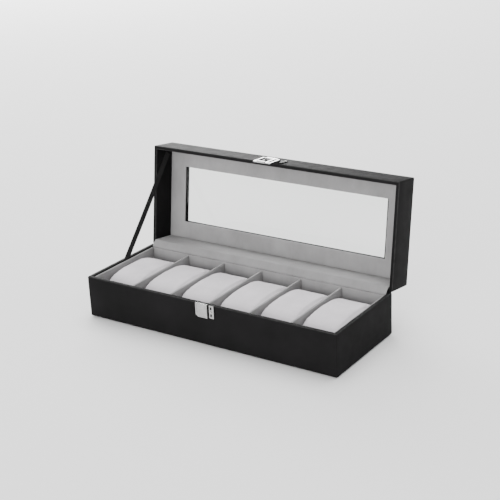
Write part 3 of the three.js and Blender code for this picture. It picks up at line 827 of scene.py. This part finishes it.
def inflate(piece):
    """Blows the piece up as a cloth cover under pressure and keeps the last step's shape."""
    cloth = piece.modifiers.new("cloth", "CLOTH")
    settings = cloth.settings
    settings.use_pressure = True
    settings.uniform_pressure_force = INFLATE_PRESSURE
    settings.tension_stiffness = COVER_STIFFNESS
    settings.compression_stiffness = COVER_STIFFNESS
    settings.effector_weights.gravity = 0
    for step in range(1, INFLATE_STEPS + 1):
        bpy.context.scene.frame_set(step)
    apply_modifiers(piece)
    bpy.context.scene.frame_set(1)


def sew_pillow(bm, half, seed):
    """Sinks a seam round each end and puckers the cover beside it."""
    for vert in bm.verts:
        x, y, z = vert.co / MM
        from_seam = abs(abs(x) - (half.x - SEAM_FROM_END))
        angle = math.atan2(z / half.z, y / half.y)
        outward = Vector((0, y / half.y ** 2, z / half.z ** 2)).normalized()
        groove = SEAM_DEPTH * math.exp(-(from_seam / SEAM_WIDTH) ** 2)
        fade = math.exp(-from_seam / PUCKER_REACH)
        uneven = 3 * noise.noise(vert.co * 60)
        pucker = PUCKER_DEPTH * math.sin(PUCKERS_ROUND * angle + uneven) * fade
        loose = LOOSE_DEPTH * noise.noise(vert.co / MM / LOOSE_SIZE + Vector((seed, 0, 0)))
        share = 1 if abs(x) < half.x - END_FACE else 0.3
        vert.co += outward * (pucker + loose - groove) * MM * share


def pillows():
    """Six pillows from one master, each with its own looseness and every second one mirrored."""
    master, half = swollen_pillow()
    for i in range(1, 7):
        node = f"watch_pillow_{i}"
        low, high = box_mm(node)
        middle = (low + high) / 2
        bm = bmesh.new()
        bm.from_mesh(master.data)
        if i % 2 == 0:
            bmesh.ops.scale(bm, vec=(-1, 1, 1), verts=bm.verts)
        sew_pillow(bm, half, 4.3 * i)
        bm.transform(Matrix.Scale(1 / MM, 4))
        piece = make_piece(f"velvet_pillow_{i}", bm, PILLOW_VELVET,
                           Matrix.Translation(middle), 80)
        on_body(piece, f"pillow_{i}", node)
    bpy.data.objects.remove(master)


# ---- Metal ----

PLATE_BEVEL = 0.15
NAIL_BEVEL = 0.2
LOOP_BEVEL = 0.3
BEVEL_ANGLE = 0.6
METAL_SHARP_DEG = 35


def bevelled_metal(name, node, body, bevel, material=None, cuts_x=()):
    """A metal piece with the node's shape, its sharp edges rounded and its faces cut at cuts_x."""
    bm = bmesh.new()
    bm.from_mesh(frame["nodes"][node].data)
    bm.transform(Matrix.Scale(1 / MM, 4))
    bmesh.ops.remove_doubles(bm, verts=bm.verts, dist=0.002)
    bmesh.ops.dissolve_limit(bm, angle_limit=math.radians(2), verts=bm.verts, edges=bm.edges)
    sharp = [e for e in bm.edges if len(e.link_faces) == 2 and e.calc_face_angle(0) > BEVEL_ANGLE]
    bmesh.ops.bevel(bm, geom=sharp, offset=bevel, segments=3, profile=0.5,
                    affect="EDGES", clamp_overlap=True)
    for x in cuts_x:
        everything = bm.verts[:] + bm.edges[:] + bm.faces[:]
        bmesh.ops.bisect_plane(bm, geom=everything, plane_co=(x, 0, 0), plane_no=(1, 0, 0))
    piece = make_piece(name, bm, material or METAL, sharp_deg=METAL_SHARP_DEG)
    weighted = piece.modifiers.new("weighted_normals", "WEIGHTED_NORMAL")
    weighted.keep_sharp = True
    return on_body(piece, body, node)


SLIDER_SHEET = 0.7
SLIDER_BORDER = 1.3
SLIDER_RELIEF = 0.28
SLIDER_STEP = 0.08
SLIDER_ROUND = 0.3
SLIDER_CORNER = (3.0, 2.0)
SLIDER_LOWER_LIP = 1
SLIDER_UPPER_LIP = 0.5
BEAD_RADIUS = 0.3
BEAD_PITCH = 0.85
BEAD_INSET = 0.5


def inset_outline(points, amount):
    """A convex outline, listed counterclockwise, with every side moved inwards."""
    moved = []
    for before, point, after in zip(points[-1:] + points, points, points[1:] + points[:1]):
        one, two = (point - before).normalized(), (after - point).normalized()
        normals = Vector((-one.y, one.x)), Vector((-two.y, two.x))
        bisector = (normals[0] + normals[1]) / (1 + normals[0].dot(normals[1]))
        moved.append(point + bisector * amount)
    return moved


def add_box(bm, low, high):
    middle, size = (Vector(low) + Vector(high)) / 2, Vector(high) - Vector(low)
    place = Matrix.Translation(middle) @ Matrix.Diagonal((*size, 1))
    bmesh.ops.create_cube(bm, size=1, matrix=place)


def sliding_cover():
    """The pressed slider: a rounded raised border, a flat face, a cut corner and a beaded line."""
    low, high = box_mm("lock_slider")
    corner_x, corner_z = low.x + SLIDER_CORNER[0], low.z + SLIDER_CORNER[1]
    corners = (
        (corner_x, low.z),
        (high.x, low.z),
        (high.x, high.z),
        (low.x, high.z),
        (low.x, corner_z),
    )
    outline = [Vector(p) for p in corners]
    front, back = low.y, low.y + SLIDER_SHEET
    face = front + SLIDER_RELIEF
    profile = [(0, back)]
    count = 4
    for i in range(count + 1):
        angle = math.pi / 2 * i / count
        inset = SLIDER_ROUND * (1 - math.cos(angle))
        profile.append((inset, front + SLIDER_ROUND * (1 - math.sin(angle))))
    profile += [
        (SLIDER_BORDER - 0.2, front),
        (SLIDER_BORDER, front + SLIDER_STEP),
        (SLIDER_BORDER + 0.12, face),
    ]
    bm = bmesh.new()
    rows = []
    for inset, y in profile:
        rows.append([bm.verts.new((p.x, y, p.y)) for p in inset_outline(outline, inset)])
    join_rows(bm, rows)
    add_box(bm, (corner_x, back, low.z), (high.x, high.y, low.z + SLIDER_LOWER_LIP))
    add_box(bm, (low.x, back, high.z - SLIDER_UPPER_LIP), (high.x, high.y, high.z))
    bead_z = low.z + SLIDER_BORDER + SLIDER_CORNER[1]
    while bead_z < high.z - SLIDER_BORDER:
        place = Matrix.Translation((low.x + SLIDER_BORDER + BEAD_INSET, face, bead_z))
        bmesh.ops.create_icosphere(bm, subdivisions=1, radius=BEAD_RADIUS, matrix=place)
        bead_z += BEAD_PITCH
    piece = make_piece("lock_sliding_cover", bm, METAL, sharp_deg=METAL_SHARP_DEG)
    return on_body(piece, "slider", "lock_slider")


# Where the lock's and the hasp's openings lie, along X and, for the hasp, up from the lid's rim.
SLOT_RANGE = (4.9, 8.1)
LOCK_OPENINGS = (4.9, 11.2)
HASP_X = 2.2
HASP_INSIDE_HALF = 8.7
HASP_INSIDE_REACH = (-14.8, 1.0)
CARRIER_X = 6.6
CARRIER_HALF = 1.2
SUNK_DEPTH = 0.28


def inside_hasp_loop(point, normal):
    """True on the loop's inner edges and on the bar across it, which get painted shade, not on its
    bright frame.
    """
    to_lid = LID.inverted()
    in_lid = to_lid @ point
    in_reach = HASP_INSIDE_REACH[0] < in_lid.z < HASP_INSIDE_REACH[1]
    inside = in_reach and abs(point.x - HASP_X) < HASP_INSIDE_HALF
    on_edge = abs((to_lid.to_3x3() @ normal).y) < 0.5
    return inside and (on_edge or abs(point.x - CARRIER_X) < CARRIER_HALF)


def inside_lock_openings(point, _normal):
    """True below the flange's face, where the slot and the flange's two windows are, which get
    painted shade.
    """
    sunk = point.y > box_mm("lock_plate")[0].y + SUNK_DEPTH
    return sunk and LOCK_OPENINGS[0] < point.x < LOCK_OPENINGS[1]


def paint_shade(piece, chosen):
    """Gives the faces chosen by middle, in millimetres, and normal the near-black metal of painted
    shade.
    """
    piece.data.materials.append(PAINTED_SHADE_METAL)
    for face in piece.data.polygons:
        if chosen(face.center / MM, face.normal):
            face.material_index = 1


def metal_fittings():
    # The lock plate's slot and windows get near-black metal as painted shade.
    plate = bevelled_metal("lock_back_plate", "lock_plate", "base", PLATE_BEVEL, cuts_x=SLOT_RANGE)
    paint_shade(plate, inside_lock_openings)
    sliding_cover()
    # The whole hinge plate gets near-black metal, as painted shadow and dark reflection.
    bevelled_metal("hasp_hinge_plate", "hasp_plate", "lid", PLATE_BEVEL, PAINTED_SHADE_METAL)
    loop = bevelled_metal("hasp_swing_loop", "hasp_loop", "hasp", LOOP_BEVEL)
    # The loop's inner faces and cross bar get near-black metal as painted shade.
    paint_shade(loop, inside_hasp_loop)
    bevelled_metal("hasp_hinge_pin", "hasp_pin", "lid", PLATE_BEVEL)
    for node in sorted(frame["nodes"]):
        if "nail" in node:
            body = "base" if node.startswith("lock") else "lid"
            bevelled_metal(f"{node}_domed", node, body, NAIL_BEVEL)


# ---- Glass and what keeps its CAD shape ----

def window_pane():
    low, high = lid_box_mm("window_glass")
    bm = soft_box(low, high, 0.35, 60)
    piece = make_piece("window_pane", bm, GLASS, LID)
    return on_body(piece, "lid", "window_glass")


def carried_over_nodes():
    """The boards and the underside sheet keep their CAD shape and get a material."""
    for name, node in frame["nodes"].items():
        if name.endswith("_board"):
            node.data.materials.clear()
            node.data.materials.append(BOARD)
    sheet = frame["nodes"]["underside_sheet"]
    sheet.data.materials.clear()
    sheet.data.materials.append(FELT)


# ---- Studio, in metres ----

def studio_floor():
    bpy.ops.mesh.primitive_circle_add(vertices=96, radius=14, fill_type="NGON", location=(0, 0, 0))
    floor = bpy.context.active_object
    floor.name = "studio_floor"
    floor.data.materials.append(floor_material())


def soft_sun(name, direction, strength, spread_deg):
    lamp = bpy.data.lights.new(name, "SUN")
    lamp.energy = strength
    lamp.angle = math.radians(spread_deg)
    light = bpy.data.objects.new(name, lamp)
    light.rotation_euler = Vector(direction).to_track_quat("-Z", "Y").to_euler()
    bpy.context.scene.collection.objects.link(light)


def soft_light(name, place, aim, size, power):
    lamp = bpy.data.lights.new(name, "AREA")
    lamp.shape = "RECTANGLE"
    lamp.size, lamp.size_y = size
    lamp.energy = power
    light = bpy.data.objects.new(name, lamp)
    light.location = place
    light.rotation_euler = (Vector(aim) - Vector(place)).to_track_quat("-Z", "Y").to_euler()
    light.visible_camera = False
    bpy.context.scene.collection.objects.link(light)


def studio_lights():
    world = bpy.data.worlds.new("studio")
    world.use_nodes = True
    background = world.node_tree.nodes["Background"]
    background.inputs["Color"].default_value = (1, 1, 1, 1)
    background.inputs["Strength"].default_value = 0.8
    bpy.context.scene.world = world
    soft_sun("overhead", (0.1, -0.35, -1), 3.2, 50)
    soft_sun("front_right", (-0.08, 1.0, -0.22), 2.9, 35)
    soft_light("back_left", (-2.6, 2.1, 1.2), (0, 0, 0.05), (2.8, 1.6), 170)


def studio_camera():
    azimuth, elevation = CAMERA_AZIMUTH, CAMERA_ELEVATION
    forward = Vector((
        -math.sin(azimuth) * math.cos(elevation),
        math.cos(azimuth) * math.cos(elevation),
        -math.sin(elevation),
    ))
    level_right = forward.cross(Vector((0, 0, 1))).normalized()
    level_up = level_right.cross(forward)
    right = level_right * math.cos(CAMERA_ROLL) + level_up * math.sin(CAMERA_ROLL)
    up = level_up * math.cos(CAMERA_ROLL) - level_right * math.sin(CAMERA_ROLL)
    place = Vector(CAMERA_AIM) - forward * CAMERA_DISTANCE
    place += right * CAMERA_RIGHT_OF_AIM + up * CAMERA_ABOVE_AIM
    data = bpy.data.cameras.new("camera")
    data.lens = CAMERA_LENS
    data.clip_end = 100
    camera = bpy.data.objects.new("camera", data)
    turn = Matrix((right, up, -forward)).transposed().to_4x4()
    camera.matrix_world = Matrix.Translation(place * MM) @ turn
    bpy.context.scene.collection.objects.link(camera)
    bpy.context.scene.camera = camera


studio_camera()
studio_lights()
studio_floor()
base_cover()
lid_cover()
base_linings()
window_panel()
lid_shelf()
hinge_velvet_strip()
hinge_leather_strip()
lid_strap()
pillows()
metal_fittings()
window_pane()
carried_over_nodes()
